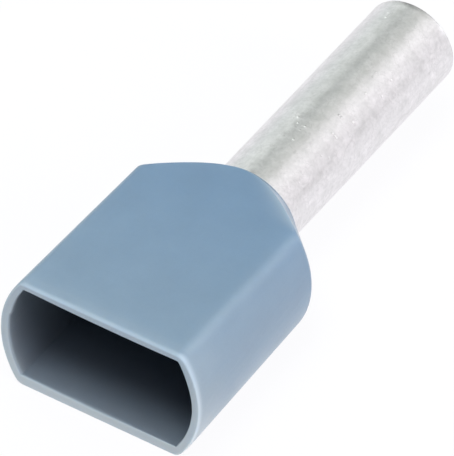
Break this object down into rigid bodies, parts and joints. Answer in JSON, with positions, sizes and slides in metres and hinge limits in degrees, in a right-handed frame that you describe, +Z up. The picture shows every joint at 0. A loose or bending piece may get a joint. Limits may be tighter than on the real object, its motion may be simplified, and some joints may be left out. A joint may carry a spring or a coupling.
{
  "type": "wire ferrule",
  "caption": "Insulated wire end ferrule: a tin-plated copper crimp sleeve held in a wide, flat-sided plastic collar whose open mouth takes conductors side by side.",
  "frame": {"origin": "on the axis of the sleeve, in the plane where the bare sleeve leaves the collar", "axes": "+X runs along the sleeve from the collar's mouth to the sleeve's open tip; +Z is up, through the collar's upper flat; +Y runs across the collar's width"},
  "size_m": [0.0245, 0.0098, 0.0058],
  "materials": {
    "collar_plastic": "moulded blue-grey polypropylene, satin, with a fine tool texture",
    "tinned_copper": "matt tin plating on drawn copper, finely mottled"
  },
  "bodies": {
    "root": {"insulating_collar": "collar_plastic", "crimp_sleeve": "tinned_copper"}
  },
  "joints": []
}
